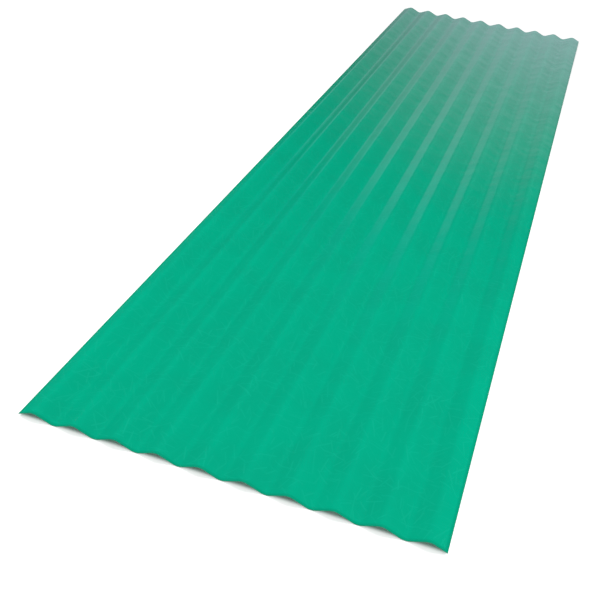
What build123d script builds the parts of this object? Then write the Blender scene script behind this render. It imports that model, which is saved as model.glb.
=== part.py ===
from build123d import *
from math import asin, atan2, ceil, cos, degrees, hypot, tan
import os

# Corrugated fiberglass roof panel: one moulded sheet, as it lies on a level floor.
# The sheet runs along Y and its corrugations cross X. The origin is under the middle of
# the sheet, at the level of the valleys that it rests on, and the weather side faces +Z.

INCH = 25.4

# Driving dimensions, in millimetres
panel_width = 26 * INCH  # over the two long edges, both turned down
panel_length = 96 * INCH
pitch = 24 * INCH / 9  # nine corrugations cover 24 inches of roof
panel_height = 0.5 * INCH  # from under the valleys to the top of the crests
sheet_thickness = 1.0  # a laminate of 5 ounces to the square foot
bend_radius = 0.6875 * INCH  # of every crest and valley, at half thickness

# A crest and a valley are arcs of one radius, joined by a straight web. The radius stays
# under the one at which the web would have no length left.
half_pitch = pitch / 2
wave_height = panel_height - sheet_thickness  # from a valley to a crest, on one face
radius_without_web = (half_pitch**2 + wave_height**2) / (4 * wave_height)
radius_limit_share = 0.98
middle_radius = min(bend_radius, radius_limit_share * radius_without_web)

# The web's slope, from the line between the arcs' centres
centre_rise = 2 * middle_radius - wave_height
centre_distance = hypot(half_pitch, centre_rise)
web_slope = asin(2 * middle_radius / centre_distance) - atan2(centre_rise, half_pitch)

# The webs carried on to where they meet make a zigzag about the middle of the height
middle_level = panel_height / 2
zigzag_rise = half_pitch * tan(web_slope) / 2
face_offset = sheet_thickness / 2 / cos(web_slope)  # upwards, to the web's own face

# The middle of the sheet is a valley. The wave is drawn past both edges and cut there.
corners_each_side = ceil(panel_width / pitch) + 1


def wave_face(side):
    """One face of the sheet across its width: side is 1 for the top and -1 underneath."""
    corners = []
    radii = []
    for k in range(-corners_each_side, corners_each_side + 1):
        turn = -1 if k % 2 == 0 else 1  # valleys are even corners and crests are odd
        level = middle_level + turn * zigzag_rise + side * face_offset
        corners.append((k * half_pitch, level))
        radii.append(middle_radius + side * turn * sheet_thickness / 2)
    return FilletPolyline(*corners, radius=radii[1:-1])


with BuildPart() as corrugated_panel:
    with BuildSketch(Plane.XZ) as section:
        with BuildLine() as outline:
            top_face = wave_face(1)
            under_face = wave_face(-1)
            Line(top_face @ 0, under_face @ 0)
            Line(top_face @ 1, under_face @ 1)
        make_face()
        with Locations((0, middle_level)):
            Rectangle(panel_width, 2 * panel_height, mode=Mode.INTERSECT)
    extrude(amount=panel_length / 2, both=True)

corrugated_panel.part.label = "corrugated_panel"

os.makedirs("parts", exist_ok=True)
export_step(corrugated_panel.part, "parts/corrugated_panel.step")

panel_box = corrugated_panel.part.bounding_box()
print("web slope", round(degrees(web_slope), 2), "degrees")
print("size", panel_box.size, "lowest", round(panel_box.min.Z, 4))
print("volume", round(corrugated_panel.part.volume), "mm3")
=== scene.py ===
from math import asin, atan2, cos, hypot, pi, radians, sin

import bpy
from mathutils import Matrix, Vector


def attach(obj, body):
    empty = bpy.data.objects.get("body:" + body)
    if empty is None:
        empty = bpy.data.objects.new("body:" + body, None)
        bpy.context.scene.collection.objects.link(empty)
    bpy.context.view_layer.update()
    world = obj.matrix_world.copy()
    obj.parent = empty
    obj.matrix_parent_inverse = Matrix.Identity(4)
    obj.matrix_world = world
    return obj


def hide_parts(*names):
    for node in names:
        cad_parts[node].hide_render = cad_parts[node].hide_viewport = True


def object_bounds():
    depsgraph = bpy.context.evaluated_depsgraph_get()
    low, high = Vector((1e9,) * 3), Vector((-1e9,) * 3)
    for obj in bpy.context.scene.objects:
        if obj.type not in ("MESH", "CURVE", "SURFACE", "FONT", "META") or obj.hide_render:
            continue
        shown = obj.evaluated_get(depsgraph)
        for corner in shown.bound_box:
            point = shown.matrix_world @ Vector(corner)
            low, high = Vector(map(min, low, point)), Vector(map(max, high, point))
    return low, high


# A green corrugated roof sheet, moulded from glass-fibre laminate, on a white studio floor.
# Metres throughout. The corrugations run along Y and the sheet rests on its valleys.

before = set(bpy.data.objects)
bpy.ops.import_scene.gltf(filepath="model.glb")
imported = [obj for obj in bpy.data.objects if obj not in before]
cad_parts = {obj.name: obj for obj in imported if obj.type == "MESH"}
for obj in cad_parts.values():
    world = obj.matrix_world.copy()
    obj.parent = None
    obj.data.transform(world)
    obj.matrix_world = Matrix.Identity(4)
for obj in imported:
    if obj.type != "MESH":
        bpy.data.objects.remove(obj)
cadLow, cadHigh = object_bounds()
scene = bpy.context.scene
scene.view_settings.view_transform = "Standard"

mm = 0.001
inch = 25.4 * mm


def linearColour(hexCode):
    # sRGB hex, as a picture gives it, to the linear values that nodes take
    parts = [int(hexCode[i:i + 2], 16) / 255 for i in (1, 3, 5)]
    linear = [p / 12.92 if p <= 0.04045 else ((p + 0.055) / 1.055) ** 2.4 for p in parts]
    return (*linear, 1)


def findSocket(sockets, key=None):
    # some sockets of a node share a name, and only those of its data type are enabled
    if isinstance(key, int):
        return sockets[key]
    return next(s for s in sockets if s.enabled and key in (None, s.name))


def addNode(tree, kind, inputs=None, **settings):
    # inputs: name or number of a socket -> a value, a socket, or a node for its first output
    node = tree.nodes.new(kind)
    for name, value in settings.items():
        setattr(node, name, value)
    for key, value in (inputs or {}).items():
        socket = findSocket(node.inputs, key)
        if isinstance(value, bpy.types.Node):
            value = findSocket(value.outputs)
        if isinstance(value, bpy.types.NodeSocket):
            tree.links.new(value, socket)
        else:
            socket.default_value = value
    return node


def emptyTree(owner):
    owner.use_nodes = True
    owner.node_tree.nodes.clear()
    return owner.node_tree


def addSeenBy(tree, *rays):
    # 1 for any of these kinds of ray, as Light Path names them, and 0 for the others
    path = addNode(tree, "ShaderNodeLightPath")
    seen = 0.0
    for ray in rays:
        seen = addNode(tree, "ShaderNodeMath", {
            0: seen, 1: path.outputs[ray],
        }, operation="MAXIMUM")
    return seen


def addPastOutline(tree, place):
    # how far a place is outside the sheet's outline, seen from above; negative within it
    parts = addNode(tree, "ShaderNodeSeparateXYZ", {0: place})
    past = []
    for axis, reach in (("X", cadHigh.x), ("Y", cadHigh.y)):
        fromMiddle = addNode(tree, "ShaderNodeMath", {
            0: parts.outputs[axis],
        }, operation="ABSOLUTE")
        past.append(addNode(tree, "ShaderNodeMath", {
            0: fromMiddle, 1: reach,
        }, operation="SUBTRACT"))
    return addNode(tree, "ShaderNodeMath", {0: past[0], 1: past[1]}, operation="MAXIMUM")


# The camera looks down the sheet from just right of its near end.

cameraView = {
    "place": (0.3148, -1.9596, 0.8953),
    "azimuth": 14.77,  # degrees, from +Y towards -X
    "lookDown": 35.71,
    "roll": 6.42,
    "sensor": 36,  # mm
    "lens": 49.41,
    "shift": (-0.0368, 0.0105),
    "clipStart": 0.01,
}


def placeCamera(view):
    azimuth, down, roll = (radians(view[key]) for key in ("azimuth", "lookDown", "roll"))
    ahead = Vector((-sin(azimuth) * cos(down), cos(azimuth) * cos(down), -sin(down)))
    right = Vector((cos(azimuth), sin(azimuth), 0))
    up = right.cross(ahead)
    turnedRight = right * cos(roll) + up * sin(roll)
    turnedUp = up * cos(roll) - right * sin(roll)
    data = bpy.data.cameras.new("studioCamera")
    data.sensor_width = view["sensor"]
    data.lens = view["lens"]
    data.shift_x, data.shift_y = view["shift"]
    data.clip_start = view["clipStart"]
    camera = bpy.data.objects.new("studioCamera", data)
    axes = Matrix((turnedRight, turnedUp, -ahead)).transposed().to_4x4()
    camera.matrix_world = Matrix.Translation(view["place"]) @ axes
    scene.collection.objects.link(camera)
    scene.camera = camera


placeCamera(cameraView)
print("camera placed")


# The surround lights the sheet evenly from all round, and the camera sees it white. The gloss
# shows it as a studio: a white sweep behind each end, walls at the sides and the near end, a
# ceiling and a soft box low at the left. Between them it is dark. Directions are in degrees.

surround = {
    "allRound": 0.61,
    "dark": 0.01,
    "whiteTint": (1, 1, 1.22),  # of all that the gloss shows but the bounced light
    "sweep": 1.06,
    "sweepLow": 4.8,  # above the floor, where it is widest
    "sweepHigh": 28.9,  # and where it is gone
    "sweepSide": 25.4,  # to each side of the sheet's direction, where it is gone
    "sweepCore": 0.32,  # of the way to its rim, up to which it has its full strength
    "wall": 0.7,
    "sideStart": 57,  # from the sheet's direction, for the walls at the sides
    "sideFull": 70,
    "nearStart": 5,  # past square on to the sheet's direction, for the near wall
    "nearFull": 25,
    "ceiling": 0.7,
    "ceilingStart": 62,  # above the floor
    "ceilingFull": 78,
    "softBox": 0.33,
    "softBoxPlace": (-22, 10.4),  # from the sheet's direction, and above the floor
    "softBoxReach": 0.165,  # of the distance to it
    "bounce": (0.015, 0.2, 0.3),  # light off the sheet, thrown back by the sweep beside it
    "bouncePlace": (-28, 15),
    "bounceReach": 0.18,
}


def sineOf(degrees):
    return sin(radians(degrees))


def addSweep(tree, aside, high, s):
    # half an ellipse that fades to its rim, on a low band as wide as it
    sideways = addNode(tree, "ShaderNodeMapRange", {
        "Value": aside, "From Min": 0.0, "From Max": sineOf(s["sweepSide"]),
    })
    fromMiddle = addNode(tree, "ShaderNodeVectorMath", {
        0: addNode(tree, "ShaderNodeCombineXYZ", {"X": sideways, "Y": high}),
    }, operation="LENGTH")
    return addNode(tree, "ShaderNodeMapRange", {
        "Value": fromMiddle.outputs["Value"], "From Min": s["sweepCore"], "From Max": 1.0,
        "To Min": s["sweep"], "To Max": 0.0,
    }, interpolation_type="SMOOTHSTEP")


def addWalls(tree, aside, along, high, s):
    # they fade upwards, and are as high as the sweep
    beside = addNode(tree, "ShaderNodeMapRange", {
        "Value": aside, "To Min": 0.0, "To Max": s["wall"],
        "From Min": sineOf(s["sideStart"]), "From Max": sineOf(s["sideFull"]),
    }, interpolation_type="SMOOTHSTEP")
    near = addNode(tree, "ShaderNodeMapRange", {
        "Value": along, "To Min": 0.0, "To Max": s["wall"],
        "From Min": -sineOf(s["nearStart"]), "From Max": -sineOf(s["nearFull"]),
    }, interpolation_type="SMOOTHSTEP")
    walls = addNode(tree, "ShaderNodeMath", {0: beside, 1: near}, operation="MAXIMUM")
    low = addNode(tree, "ShaderNodeMath", {0: 1.0, 1: high}, operation="SUBTRACT")
    return addNode(tree, "ShaderNodeMath", {0: walls, 1: low}, operation="MULTIPLY")


def addSoftSpot(tree, direction, place, reach):
    # 1 in its middle and 0 at its rim
    aside, up = (radians(angle) for angle in place)
    fromMiddle = addNode(tree, "ShaderNodeVectorMath", {
        0: direction, 1: (sin(aside) * cos(up), cos(aside) * cos(up), sin(up)),
    }, operation="DISTANCE")
    return addNode(tree, "ShaderNodeMapRange", {
        "Value": fromMiddle.outputs["Value"], "From Min": 0.0, "From Max": reach,
        "To Min": 1.0, "To Max": 0.0,
    }, interpolation_type="SMOOTHSTEP")


def addInGloss(tree, s):
    direction = addNode(tree, "ShaderNodeTexCoord").outputs["Generated"]
    parts = addNode(tree, "ShaderNodeSeparateXYZ", {0: direction})
    aside = addNode(tree, "ShaderNodeMath", {0: parts.outputs["X"]}, operation="ABSOLUTE")
    high = addNode(tree, "ShaderNodeMapRange", {
        "Value": parts.outputs["Z"],
        "From Min": sineOf(s["sweepLow"]), "From Max": sineOf(s["sweepHigh"]),
    })
    sweepOrWall = addNode(tree, "ShaderNodeMath", {
        0: addSweep(tree, aside, high, s),
        1: addWalls(tree, aside, parts.outputs["Y"], high, s),
    }, operation="MAXIMUM")
    ceiling = addNode(tree, "ShaderNodeMapRange", {
        "Value": parts.outputs["Z"], "To Min": s["dark"], "To Max": s["ceiling"],
        "From Min": sineOf(s["ceilingStart"]), "From Max": sineOf(s["ceilingFull"]),
    }, interpolation_type="SMOOTHSTEP")
    softBox = addSoftSpot(tree, direction, s["softBoxPlace"], s["softBoxReach"])
    boxAndCeiling = addNode(tree, "ShaderNodeMath", {
        0: softBox, 1: s["softBox"], 2: ceiling,
    }, operation="MULTIPLY_ADD")
    white = addNode(tree, "ShaderNodeMath", {
        0: sweepOrWall, 1: boxAndCeiling,
    }, operation="ADD")
    whiteLight = addNode(tree, "ShaderNodeVectorMath", {
        0: s["whiteTint"], "Scale": white,
    }, operation="SCALE")
    bounce = addSoftSpot(tree, direction, s["bouncePlace"], s["bounceReach"])
    return addNode(tree, "ShaderNodeVectorMath", {
        0: bounce, 1: s["bounce"], 2: whiteLight,
    }, operation="MULTIPLY_ADD")


def buildSurround(s):
    world = bpy.data.worlds.new("studioSurround")
    world.cycles.sampling_method = "NONE"  # so that each kind of ray gets its own light
    scene.world = world
    tree = emptyTree(world)
    lit = addNode(tree, "ShaderNodeMix", {
        "Factor": addSeenBy(tree, "Is Glossy Ray"),
        "A": (s["allRound"], s["allRound"], s["allRound"], 1), "B": addInGloss(tree, s),
    }, data_type="RGBA")
    shown = addNode(tree, "ShaderNodeMix", {
        "Factor": addSeenBy(tree, "Is Camera Ray", "Is Transmission Ray"),
        "A": lit, "B": (1, 1, 1, 1),
    }, data_type="RGBA")
    around = addNode(tree, "ShaderNodeBackground", {"Color": shown, "Strength": 1.0})
    addNode(tree, "ShaderNodeOutputWorld", {"Surface": around})


buildSurround(surround)
print("surround built")


# Two soft lamps, one on each side of the sheet

lamps = {
    "sides": (-1, 1),
    "out": 1.95,  # from the middle of the sheet
    "along": -0.11,
    "up": 1.44,
    "aim": (1, -3, 0),  # on the floor before the near end, so that the far end is dimmer
    "size": 1,
    "power": 36,  # W each, which with the light all round shows a colour as written
}


def buildLamps(s):
    data = bpy.data.lights.new("softLamp", "AREA")
    data.size = s["size"]
    data.energy = s["power"]
    aimOut, aimAlong, aimUp = s["aim"]
    for side in s["sides"]:
        lamp = bpy.data.objects.new("softLamp", data)
        lamp.location = (side * s["out"], s["along"], s["up"])
        beam = Vector((side * aimOut, aimAlong, aimUp)) - lamp.location
        lamp.rotation_euler = beam.to_track_quat("-Z", "Y").to_euler()
        lamp.visible_camera = False
        lamp.visible_glossy = False  # the surround has what the gloss shows
        scene.collection.objects.link(lamp)


buildLamps(lamps)
print("lamps hung")


# The floor is white paper. Past the sheet's edges it also glows, as far as it is looked at,
# so that it shows white there and keeps its shadow in the gaps under the sheet.

paperFloor = {
    "half": 12,
    "drop": 0.2 * mm,  # below the valleys
    "colour": "#f3f3f3",
    "glow": 0.5,
    "glowStart": -7 * mm,  # past the sheet's edges
    "glowFull": 1 * mm,
}


def mixPaper(s):
    material = bpy.data.materials.new("whitePaper")
    tree = emptyTree(material)
    place = addNode(tree, "ShaderNodeTexCoord").outputs["Object"]
    glow = addNode(tree, "ShaderNodeMapRange", {
        "Value": addPastOutline(tree, place),
        "From Min": s["glowStart"], "From Max": s["glowFull"],
        "To Min": 0.0, "To Max": s["glow"],
    }, interpolation_type="SMOOTHSTEP")
    seen = addSeenBy(tree, "Is Camera Ray", "Is Glossy Ray", "Is Transmission Ray")
    strength = addNode(tree, "ShaderNodeMath", {0: glow, 1: seen}, operation="MULTIPLY")
    white = addNode(tree, "ShaderNodeEmission", {"Strength": strength})
    paper = addNode(tree, "ShaderNodeBsdfDiffuse", {"Color": linearColour(s["colour"])})
    both = addNode(tree, "ShaderNodeAddShader", {0: paper, 1: white})
    addNode(tree, "ShaderNodeOutputMaterial", {"Surface": both})
    return material


def buildFloor(s):
    half = s["half"]
    low = -s["drop"]
    corners = [(-half, -half, low), (half, -half, low), (half, half, low), (-half, half, low)]
    mesh = bpy.data.meshes.new("studioFloor")
    mesh.from_pydata(corners, [], [(0, 1, 2, 3)])
    mesh.materials.append(mixPaper(s))
    floor = bpy.data.objects.new("studioFloor", mesh)
    scene.collection.objects.link(floor)


buildFloor(paperFloor)
print("floor laid")


# Finish. Glass-reinforced polyester: a mat of chopped glass strands in pigmented resin,
# moulded between two films. The eye gets an even deep green under a satin skin, faint paler
# lines where strands lie close to it, a slow ripple in the gloss, and matt sawn edges.

laminate = {
    "green": "#01b28c",
    "resinGreen": "#01ae89",  # where there is more resin than glass
    "strandGreen": "#0cb691",
    "rimShadeGreen": "#019a76",  # painted shade: darker beside a cut edge, where the edges would fall into shade
    "rimShadeWidth": 6 * mm,
    "sawnGreen": "#2f9c80",
    "cloudWidth": 90 * mm,  # of the patches that are richer in resin
    "cloudDetail": 3.0,
    "cloudRaggedness": 0.55,
    "cloudEdge": (0.35, 0.65),  # values of the noise where a patch starts and is full
    "strandLengths": (17 * mm, 23 * mm, 31 * mm),  # one in each layer of the mat
    "layerShift": (370 * mm, 190 * mm),  # so that no layer repeats the one below it
    "strandWidth": 2 * mm,  # a real one is under 1 mm, and wouldn't show from here
    "strandEdge": (0.2, 0.8),  # in widths, off its middle line, where it fades out
    "strandShow": 0.8,
    "strandRise": 0.008 * mm,  # how far the skin follows the strands
    "rippleWidth": 45 * mm,
    "rippleDetail": 2.0,
    "rippleRise": 0.45 * mm,  # of which less than half is used from spot to spot
    "saw": 0.6 * mm,  # between the marks of the saw on the edges
    "sawDetail": 2.0,
    "skinRoughness": 0.08,
    "resinRoughness": 0.11,
    "sawnRoughness": 0.7,
    "ior": 1.5,
}


def addStrands(tree, place, m):
    # in each cell of a Voronoi pattern lies one strand, turned at random, for each layer
    strands = 0.0
    shiftX, shiftY = m["layerShift"]
    fadeStart, fadeEnd = (share * m["strandWidth"] for share in m["strandEdge"])
    for layer, length in enumerate(m["strandLengths"]):
        moved = addNode(tree, "ShaderNodeMapping", {
            "Vector": place, "Location": (shiftX * layer, shiftY * layer, 0),
        })
        cells = addNode(tree, "ShaderNodeTexVoronoi", {
            "Vector": moved, "Scale": 1 / length,
        }, voronoi_dimensions="2D")
        chance = addNode(tree, "ShaderNodeSeparateColor", {0: cells.outputs["Color"]})
        fromMiddle = addNode(tree, "ShaderNodeVectorMath", {
            0: moved, 1: cells.outputs["Position"],
        }, operation="SUBTRACT")
        angle = addNode(tree, "ShaderNodeMath", {0: chance, 1: 2 * pi}, operation="MULTIPLY")
        turned = addNode(tree, "ShaderNodeVectorRotate", {
            "Vector": fromMiddle, "Angle": angle,
        }, rotation_type="Z_AXIS")
        across = addNode(tree, "ShaderNodeSeparateXYZ", {0: turned})
        offLine = addNode(tree, "ShaderNodeMath", {0: across}, operation="ABSOLUTE")
        line = addNode(tree, "ShaderNodeMapRange", {
            "Value": offLine, "From Min": fadeStart, "From Max": fadeEnd,
            "To Min": 1.0, "To Max": 0.0,
        }, interpolation_type="SMOOTHSTEP")
        strand = addNode(tree, "ShaderNodeMath", {
            0: line, 1: chance.outputs["Green"],
        }, operation="MULTIPLY")
        strands = addNode(tree, "ShaderNodeMath", {0: strands, 1: strand}, operation="MAXIMUM")
    return strands


def addResinClouds(tree, place, m):
    # 1 where the laminate is richest in resin
    clouds = addNode(tree, "ShaderNodeTexNoise", {
        "Vector": place, "Scale": 1 / m["cloudWidth"],
        "Detail": m["cloudDetail"], "Roughness": m["cloudRaggedness"],
    })
    start, full = m["cloudEdge"]
    return addNode(tree, "ShaderNodeMapRange", {
        "Value": clouds, "From Min": start, "From Max": full,
    }, interpolation_type="SMOOTHSTEP")


def addGreens(tree, place, strands, cloudy, sawn, m):
    resin = addNode(tree, "ShaderNodeMix", {
        "Factor": cloudy, "A": linearColour(m["green"]), "B": linearColour(m["resinGreen"]),
    }, data_type="RGBA")
    strandShade = addNode(tree, "ShaderNodeMath", {
        0: strands, 1: m["strandShow"],
    }, operation="MULTIPLY")
    skin = addNode(tree, "ShaderNodeMix", {
        "Factor": strandShade, "A": resin, "B": linearColour(m["strandGreen"]),
    }, data_type="RGBA")
    # painted shade: the green turns darker over the last few millimetres inside the outline
    rimShade = addNode(tree, "ShaderNodeMapRange", {
        "Value": addPastOutline(tree, place), "From Min": -m["rimShadeWidth"], "From Max": 0.0,
    })
    rimShaded = addNode(tree, "ShaderNodeMix", {
        "Factor": rimShade, "A": skin, "B": linearColour(m["rimShadeGreen"]),
    }, data_type="RGBA")
    sawMarks = addNode(tree, "ShaderNodeTexNoise", {
        "Vector": place, "Scale": 1 / m["saw"], "Detail": m["sawDetail"],
    })
    sawnShade = addNode(tree, "ShaderNodeMath", {0: sawn, 1: sawMarks}, operation="MULTIPLY")
    return addNode(tree, "ShaderNodeMix", {
        "Factor": sawnShade, "A": rimShaded, "B": linearColour(m["sawnGreen"]),
    }, data_type="RGBA")


def addRoughness(tree, cloudy, sawn, m):
    skin = addNode(tree, "ShaderNodeMix", {
        "Factor": cloudy, "A": m["skinRoughness"], "B": m["resinRoughness"],
    }, data_type="FLOAT")
    return addNode(tree, "ShaderNodeMix", {
        "Factor": sawn, "A": skin, "B": m["sawnRoughness"],
    }, data_type="FLOAT")


def addRelief(tree, place, strands, m):
    ripple = addNode(tree, "ShaderNodeTexNoise", {
        "Vector": place, "Scale": 1 / m["rippleWidth"], "Detail": m["rippleDetail"],
    })
    rippled = addNode(tree, "ShaderNodeBump", {
        "Height": ripple, "Distance": m["rippleRise"], "Strength": 1.0,
    })
    return addNode(tree, "ShaderNodeBump", {
        "Height": strands, "Distance": m["strandRise"], "Strength": 1.0,
        "Normal": rippled,
    })


def mixLaminate(m):
    material = bpy.data.materials.new("glassReinforcedPolyester")
    tree = emptyTree(material)
    place = addNode(tree, "ShaderNodeTexCoord").outputs["Object"]
    sawn = addNode(tree, "ShaderNodeAttribute", attribute_name="sawnEdge").outputs["Fac"]
    strands = addStrands(tree, place, m)
    cloudy = addResinClouds(tree, place, m)
    shader = addNode(tree, "ShaderNodeBsdfPrincipled", {
        "Base Color": addGreens(tree, place, strands, cloudy, sawn, m),
        "Roughness": addRoughness(tree, cloudy, sawn, m),
        "IOR": m["ior"],
        "Normal": addRelief(tree, place, strands, m),
    })
    addNode(tree, "ShaderNodeOutputMaterial", {"Surface": shader})
    return material


laminateFinish = mixLaminate(laminate)
print("laminate mixed")


# The sheet. Its section is arcs of one radius joined by straight webs: a flat box, cut into a
# fine grid, is bent to it, the top and the under side each to arcs of their own.

coverWidth = 24 * inch  # from the first crest to the last
coverCorrugations = 9

sheet = {
    "Width": cadHigh.x - cadLow.x,
    "Length": cadHigh.y - cadLow.y,
    "Height": cadHigh.z - cadLow.z,
    "Pitch": coverWidth / coverCorrugations,
    "Thickness": 1 * mm,
    "Bend Radius": 0.6875 * inch,  # of every crest and valley, at half the thickness
    "Columns": 235,  # of points in the grid
    "Rows": 121,
    "Edge Band": 0.3 * mm,  # the outermost row of faces, so that the shading turns only there
    "Unevenness": 0.03,  # the most that the wave is flattened anywhere
    "Uneven Width": 150 * mm,
    "Uneven Length": 350 * mm,
    "Uneven Detail": 1.0,
    "Seed": 7.0,
}


def webSlope(s):
    # from the line between the centres of two arcs
    rise = 2 * s["Bend Radius"] - (s["Height"] - s["Thickness"])
    run = s["Pitch"] / 2
    return asin(2 * s["Bend Radius"] / hypot(run, rise)) - atan2(rise, run)


def addFlatBox(tree, given):
    # two units high, so that a point's own Z tells the top, 1, from the under side, -1
    size = addNode(tree, "ShaderNodeCombineXYZ", {
        "X": given["Width"], "Y": given["Length"], "Z": 2.0,
    })
    box = addNode(tree, "GeometryNodeMeshCube", {
        "Size": size, "Vertices X": given["Columns"], "Vertices Y": given["Rows"],
        "Vertices Z": 2,
    })
    # a face of it is either level, with 1 here, or upright, with 0, and so a cut edge
    facing = addNode(tree, "ShaderNodeSeparateXYZ", {
        0: addNode(tree, "GeometryNodeInputNormal"),
    })
    levelness = addNode(tree, "ShaderNodeMath", {
        0: facing.outputs["Z"],
    }, operation="ABSOLUTE")
    upright = addNode(tree, "ShaderNodeMath", {0: levelness, 1: 0.5}, operation="LESS_THAN")
    return addNode(tree, "GeometryNodeStoreNamedAttribute", {
        "Geometry": box, "Name": "sawnEdge", "Value": upright,
    }, data_type="FLOAT", domain="FACE")


def addBandedPlace(tree, given, place, size, count):
    # the outermost cell of the grid is made as narrow as the edge band, and the rest wider
    fromMiddle = addNode(tree, "ShaderNodeMath", {0: place}, operation="ABSOLUTE")
    half = addNode(tree, "ShaderNodeMath", {0: given[size], 1: 0.5}, operation="MULTIPLY")
    cells = addNode(tree, "ShaderNodeMath", {0: given[count], 1: 1.0}, operation="SUBTRACT")
    cell = addNode(tree, "ShaderNodeMath", {0: given[size], 1: cells}, operation="DIVIDE")
    inside = addNode(tree, "ShaderNodeMath", {0: half, 1: cell}, operation="SUBTRACT")
    bandStart = addNode(tree, "ShaderNodeMath", {
        0: half, 1: given["Edge Band"],
    }, operation="SUBTRACT")
    toBand = addNode(tree, "ShaderNodeMapRange", {
        "Value": fromMiddle, "From Min": 0.0, "From Max": inside,
        "To Min": 0.0, "To Max": bandStart,
    })
    inBand = addNode(tree, "ShaderNodeMapRange", {
        "Value": fromMiddle, "From Min": inside, "From Max": half,
        "To Min": 0.0, "To Max": given["Edge Band"],
    })
    reach = addNode(tree, "ShaderNodeMath", {0: toBand, 1: inBand}, operation="ADD")
    side = addNode(tree, "ShaderNodeMath", {0: place}, operation="SIGN")
    return addNode(tree, "ShaderNodeMath", {0: reach, 1: side}, operation="MULTIPLY")


def addArcHeight(tree, radius, aside):
    # how high an arc is over its centre, at a distance from its middle
    square = addNode(tree, "ShaderNodeMath", {0: radius, 1: radius}, operation="MULTIPLY")
    asideSquare = addNode(tree, "ShaderNodeMath", {0: aside, 1: aside}, operation="MULTIPLY")
    rest = addNode(tree, "ShaderNodeMath", {0: square, 1: asideSquare}, operation="SUBTRACT")
    return addNode(tree, "ShaderNodeMath", {0: rest}, operation="SQRT")


def addSectionLevel(tree, given, across, halfThickness, outwards):
    # how high a surface is over the floor that the valleys lie on. Outwards is half the
    # thickness for the top, and minus that for the under side.
    slopeSine = addNode(tree, "ShaderNodeMath", {0: given["Web Slope"]}, operation="SINE")
    slopeCosine = addNode(tree, "ShaderNodeMath", {0: given["Web Slope"]}, operation="COSINE")
    slopeTangent = addNode(tree, "ShaderNodeMath", {
        0: given["Web Slope"],
    }, operation="TANGENT")
    valleyRadius = addNode(tree, "ShaderNodeMath", {
        0: given["Bend Radius"], 1: outwards,
    }, operation="SUBTRACT")
    crestRadius = addNode(tree, "ShaderNodeMath", {
        0: given["Bend Radius"], 1: outwards,
    }, operation="ADD")

    # along the section from the middle of a valley, at 0, to the middle of a crest
    halfPitch = addNode(tree, "ShaderNodeMath", {
        0: given["Pitch"], 1: 0.5,
    }, operation="MULTIPLY")
    along = addNode(tree, "ShaderNodeMath", {0: across, 1: halfPitch}, operation="PINGPONG")
    webStart = addNode(tree, "ShaderNodeMath", {
        0: valleyRadius, 1: slopeSine,
    }, operation="MULTIPLY")
    crestReach = addNode(tree, "ShaderNodeMath", {
        0: crestRadius, 1: slopeSine,
    }, operation="MULTIPLY")
    webEnd = addNode(tree, "ShaderNodeMath", {
        0: halfPitch, 1: crestReach,
    }, operation="SUBTRACT")

    # the valley's arc, up to where the web starts
    valleyCentre = addNode(tree, "ShaderNodeMath", {
        0: given["Bend Radius"], 1: halfThickness,
    }, operation="ADD")
    inValley = addNode(tree, "ShaderNodeMath", {0: along, 1: webStart}, operation="MINIMUM")
    valleyLevel = addNode(tree, "ShaderNodeMath", {
        0: valleyCentre, 1: addArcHeight(tree, valleyRadius, inValley),
    }, operation="SUBTRACT")

    # the web's rise
    pastValley = addNode(tree, "ShaderNodeMath", {0: along, 1: webStart}, operation="MAXIMUM")
    onWeb = addNode(tree, "ShaderNodeMath", {0: pastValley, 1: webEnd}, operation="MINIMUM")
    webRun = addNode(tree, "ShaderNodeMath", {0: onWeb, 1: webStart}, operation="SUBTRACT")
    webRise = addNode(tree, "ShaderNodeMath", {
        0: webRun, 1: slopeTangent,
    }, operation="MULTIPLY")

    # the crest's rise, from where the web ends
    pastWeb = addNode(tree, "ShaderNodeMath", {0: along, 1: webEnd}, operation="MAXIMUM")
    inCrest = addNode(tree, "ShaderNodeMath", {0: halfPitch, 1: pastWeb}, operation="SUBTRACT")
    crestStart = addNode(tree, "ShaderNodeMath", {
        0: crestRadius, 1: slopeCosine,
    }, operation="MULTIPLY")
    crestRise = addNode(tree, "ShaderNodeMath", {
        0: addArcHeight(tree, crestRadius, inCrest), 1: crestStart,
    }, operation="SUBTRACT")

    webLevel = addNode(tree, "ShaderNodeMath", {0: valleyLevel, 1: webRise}, operation="ADD")
    return addNode(tree, "ShaderNodeMath", {0: webLevel, 1: crestRise}, operation="ADD")


def addUnevenLevel(tree, given, across, along, level, outwards):
    # the wave is a little flatter in one spot than in another, at the same thickness
    acrossSpots = addNode(tree, "ShaderNodeMath", {
        0: across, 1: given["Uneven Width"],
    }, operation="DIVIDE")
    alongSpots = addNode(tree, "ShaderNodeMath", {
        0: along, 1: given["Uneven Length"],
    }, operation="DIVIDE")
    spotPlace = addNode(tree, "ShaderNodeCombineXYZ", {
        "X": acrossSpots, "Y": alongSpots, "Z": given["Seed"],
    })
    spots = addNode(tree, "ShaderNodeTexNoise", {
        "Vector": spotPlace, "Scale": 1.0, "Detail": given["Uneven Detail"],
    })
    flatter = addNode(tree, "ShaderNodeMath", {
        0: spots, 1: given["Unevenness"],
    }, operation="MULTIPLY")
    middleLevel = addNode(tree, "ShaderNodeMath", {
        0: given["Height"], 1: 0.5,
    }, operation="MULTIPLY")
    coreLevel = addNode(tree, "ShaderNodeMath", {0: level, 1: outwards}, operation="SUBTRACT")
    toMiddle = addNode(tree, "ShaderNodeMath", {
        0: middleLevel, 1: coreLevel,
    }, operation="SUBTRACT")
    return addNode(tree, "ShaderNodeMath", {
        0: toMiddle, 1: flatter, 2: level,
    }, operation="MULTIPLY_ADD")


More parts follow.
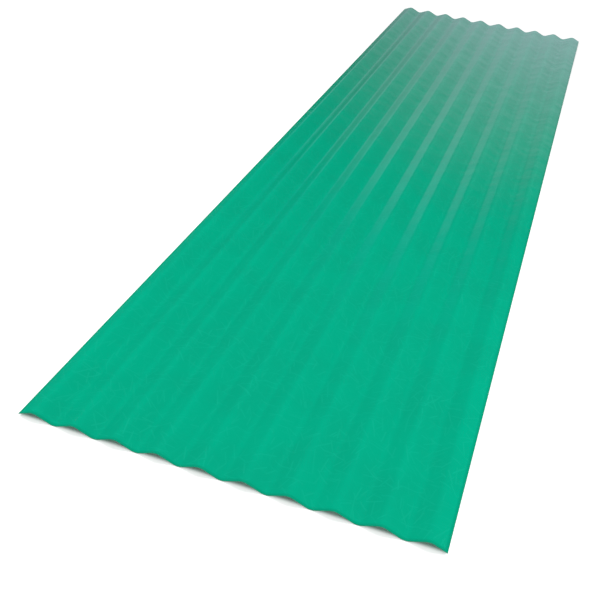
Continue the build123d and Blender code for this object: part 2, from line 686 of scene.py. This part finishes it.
def buildSheetTree(sizes):
    tree = bpy.data.node_groups.new("corrugatedSheet", "GeometryNodeTree")
    for name, value in sizes.items():
        kind = "NodeSocketInt" if isinstance(value, int) else "NodeSocketFloat"
        tree.interface.new_socket(name, in_out="INPUT", socket_type=kind)
    tree.interface.new_socket("Finish", in_out="INPUT", socket_type="NodeSocketMaterial")
    tree.interface.new_socket("Sheet", in_out="OUTPUT", socket_type="NodeSocketGeometry")
    given = tree.nodes.new("NodeGroupInput").outputs

    flatPlace = addNode(tree, "ShaderNodeSeparateXYZ", {
        0: addNode(tree, "GeometryNodeInputPosition"),
    }).outputs
    across = addBandedPlace(tree, given, flatPlace["X"], "Width", "Columns")
    along = addBandedPlace(tree, given, flatPlace["Y"], "Length", "Rows")
    halfThickness = addNode(tree, "ShaderNodeMath", {
        0: given["Thickness"], 1: 0.5,
    }, operation="MULTIPLY")
    outwards = addNode(tree, "ShaderNodeMath", {
        0: flatPlace["Z"], 1: halfThickness,
    }, operation="MULTIPLY")
    level = addSectionLevel(tree, given, across, halfThickness, outwards)
    bentPlace = addNode(tree, "ShaderNodeCombineXYZ", {
        "X": across, "Y": along,
        "Z": addUnevenLevel(tree, given, across, along, level, outwards),
    })
    bent = addNode(tree, "GeometryNodeSetPosition", {
        "Geometry": addFlatBox(tree, given), "Position": bentPlace,
    })

    sawnEdge = addNode(tree, "GeometryNodeInputNamedAttribute", {
        "Name": "sawnEdge",
    }, data_type="FLOAT")
    moulded = addNode(tree, "ShaderNodeMath", {0: 1.0, 1: sawnEdge}, operation="SUBTRACT")
    smooth = addNode(tree, "GeometryNodeSetShadeSmooth", {
        "Geometry": bent, "Shade Smooth": moulded,
    })
    real = addNode(tree, "GeometryNodeRealizeInstances", {"Geometry": smooth})
    finished = addNode(tree, "GeometryNodeSetMaterial", {
        "Geometry": real, "Material": given["Finish"],
    })
    addNode(tree, "NodeGroupOutput", {"Sheet": finished})
    return tree


def buildSheet(sizes, finish):
    tree = buildSheetTree(sizes)
    maker = bpy.data.objects.new("sheetMaker", bpy.data.meshes.new("sheetMaker"))
    scene.collection.objects.link(maker)
    bend = maker.modifiers.new("bend", "NODES")
    bend.node_group = tree
    values = {**sizes, "Finish": finish}
    for item in tree.interface.items_tree:
        if item.in_out == "INPUT":
            bend[item.identifier] = values[item.name]
    evaluated = maker.evaluated_get(bpy.context.evaluated_depsgraph_get())
    mesh = bpy.data.meshes.new_from_object(evaluated)
    bpy.data.objects.remove(maker)
    mesh.name = "roofSheet"
    piece = bpy.data.objects.new("roofSheet", mesh)
    scene.collection.objects.link(piece)
    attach(piece, "root")
    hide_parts("corrugated_panel")
    return piece


sheet["Web Slope"] = webSlope(sheet)
roofSheet = buildSheet(sheet, laminateFinish)
print("sheet bent:", len(roofSheet.data.polygons), "faces")
